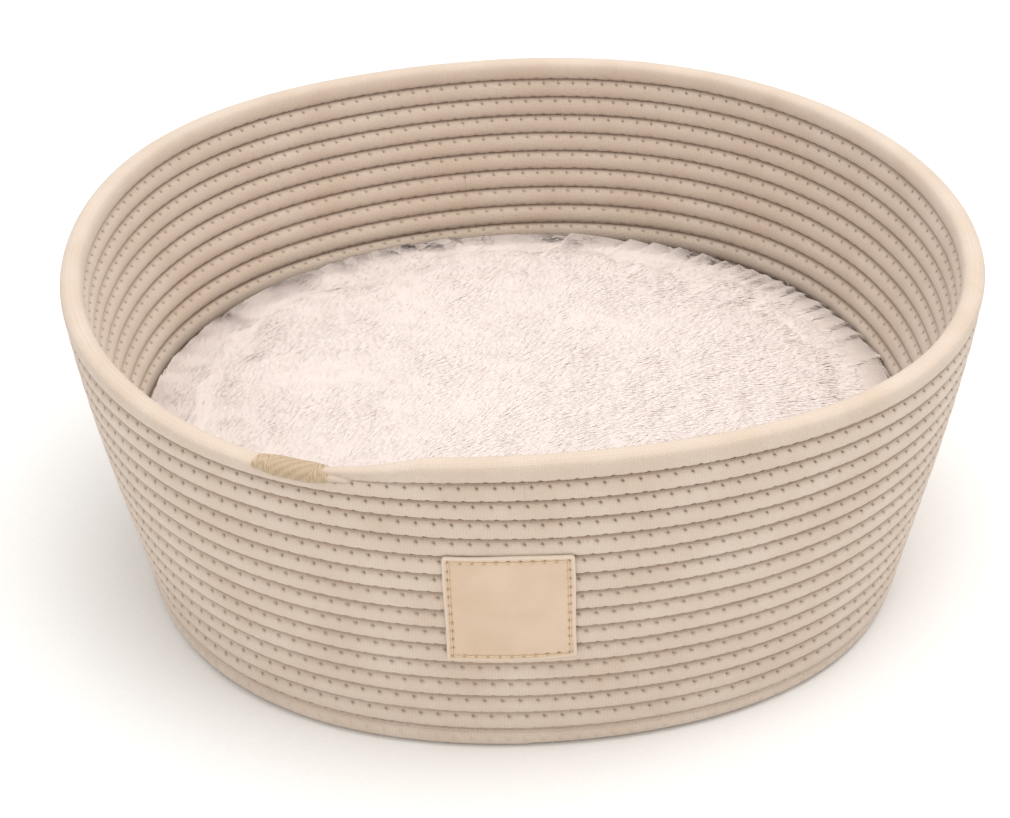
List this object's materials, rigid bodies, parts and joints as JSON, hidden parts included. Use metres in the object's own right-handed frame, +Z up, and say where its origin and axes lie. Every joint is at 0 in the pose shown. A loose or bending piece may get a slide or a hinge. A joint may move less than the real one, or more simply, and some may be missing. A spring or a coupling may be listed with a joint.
{
  "type": "coiled rope pet bed basket",
  "caption": "Round flared basket of coiled stitched cotton rope with a leather patch on the front and a loose, domed plush cushion inside that lifts out.",
  "frame": {"origin": "on the floor under the middle of the base", "axes": "+Z up; -Y is the front, which carries the leather patch; +X is to the right seen from the front"},
  "size_m": [0.4452, 0.4452, 0.1662],
  "materials": {
    "rope": "matte knitted cotton",
    "rope_thread": "matte cotton thread",
    "whipping": "satin-stitched thread, low sheen",
    "patch_leather": "smooth light tan, matte",
    "patch_thread": "waxed thread, low sheen",
    "plush": "soft plush pile",
    "underside_cloth": "matte woven",
    "cushion_thread": "matte thread",
    "filling": "loose fibre filling",
    "liner": "matte non-woven",
    "zip_tape": "matte woven tape",
    "zip_teeth": "satin moulded",
    "zip_metal": "satin"
  },
  "bodies": {
    "basket": {"base_coil": "rope", "wall_coil_lower": "rope", "wall_coil_middle": "rope", "wall_coil_upper": "rope", "rim_turn": "rope", "rim_whipping": "whipping", "wall_stitching": "rope_thread", "base_stitching": "rope_thread", "leather_patch": "patch_leather", "patch_stitching": "patch_thread"},
    "cushion": {"cushion_plush_cover": "plush", "cushion_underside": "underside_cloth", "cushion_seam_thread": "cushion_thread", "pad_filling": "filling", "pad_liner": "liner", "zip_tape": "zip_tape", "zip_teeth": "zip_teeth"},
    "zip_runner": {"zip_slider": "zip_metal", "zip_pull": "zip_metal"}
  },
  "joints": [
    {"name": "cushion_lift", "type": "slide", "parent": "basket", "child": "cushion", "axis": [0, 0, 1], "range_m": [0, 0.22]},
    {"name": "zip_slide", "type": "slide", "parent": "cushion", "child": "zip_runner", "axis": [-1, 0, 0], "range_m": [0, 0.211]}
  ]
}
